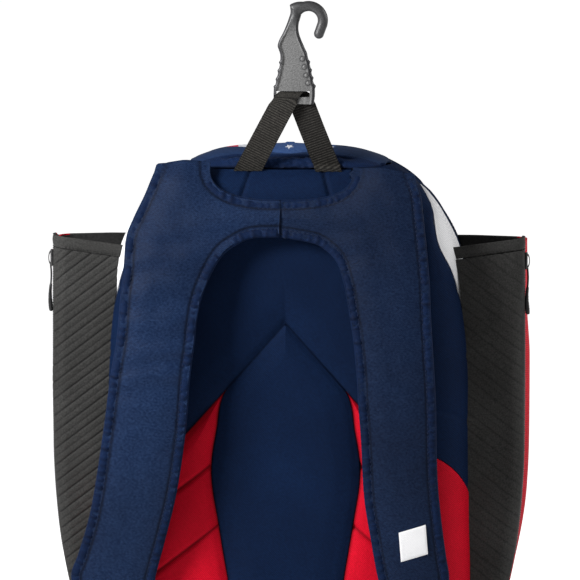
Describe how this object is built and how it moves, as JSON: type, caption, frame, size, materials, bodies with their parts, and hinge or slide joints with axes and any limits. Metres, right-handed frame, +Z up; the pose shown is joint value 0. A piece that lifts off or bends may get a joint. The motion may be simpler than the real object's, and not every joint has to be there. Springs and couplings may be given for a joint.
{
  "type": "baseball bat backpack",
  "caption": "Upright cloth backpack with padded shoulder straps, a bat sleeve on each side and a fence hook on a webbing loop.",
  "frame": {"origin": "the seat of the fence hook, where a fence wire carries the bag", "axes": "+Z up, -Y towards the wearer's back and the shoulder straps, +X to the right seen from the strap side"},
  "size_m": [0.4848, 0.2693, 0.6623],
  "materials": {
    "hook_plastic": "satin",
    "webbing": "matte",
    "navy_twill": "matte",
    "navy_mesh": "matte",
    "red_cloth": "matte",
    "white_cloth": "matte",
    "grooved_cloth": "matte",
    "black_trim": "matte",
    "zip_metal": "satin"
  },
  "bodies": {
    "root": {"fence_hook": "hook_plastic", "hook_webbing": "webbing", "bottom_panel": "navy_twill", "front_panel": "navy_twill", "main_zip": "black_trim", "top_panel": "navy_twill", "star_band": "white_cloth", "crown_panel": "navy_twill", "back_panel_upper": "navy_mesh", "back_panel_center": "navy_mesh", "back_panel_red_left": "red_cloth", "back_panel_red_right": "red_cloth", "side_panel_white_left": "white_cloth", "side_panel_red_left": "red_cloth", "side_panel_navy_left": "navy_mesh", "side_panel_white_right": "white_cloth", "side_panel_red_right": "red_cloth", "side_panel_navy_right": "navy_mesh", "bat_sleeve_hem_left": "black_trim", "bat_sleeve_near_left": "grooved_cloth", "bat_sleeve_zip_left": "black_trim", "bat_sleeve_far_left": "red_cloth", "bat_sleeve_lining_left": "black_trim", "sleeve_slider_left": "zip_metal", "sleeve_pull_left": "black_trim", "shoulder_strap_left": "navy_twill", "strap_binding_left": "navy_mesh", "neck_binding_left": "navy_mesh", "ladder_lock_left": "hook_plastic", "lower_webbing_left": "webbing", "bat_sleeve_hem_right": "black_trim", "bat_sleeve_near_right": "grooved_cloth", "bat_sleeve_zip_right": "black_trim", "bat_sleeve_far_right": "red_cloth", "bat_sleeve_lining_right": "black_trim", "sleeve_slider_right": "zip_metal", "sleeve_pull_right": "black_trim", "shoulder_strap_right": "navy_twill", "strap_binding_right": "navy_mesh", "neck_binding_right": "navy_mesh", "ladder_lock_right": "hook_plastic", "lower_webbing_right": "webbing", "strap_label": "white_cloth"}
  },
  "joints": []
}
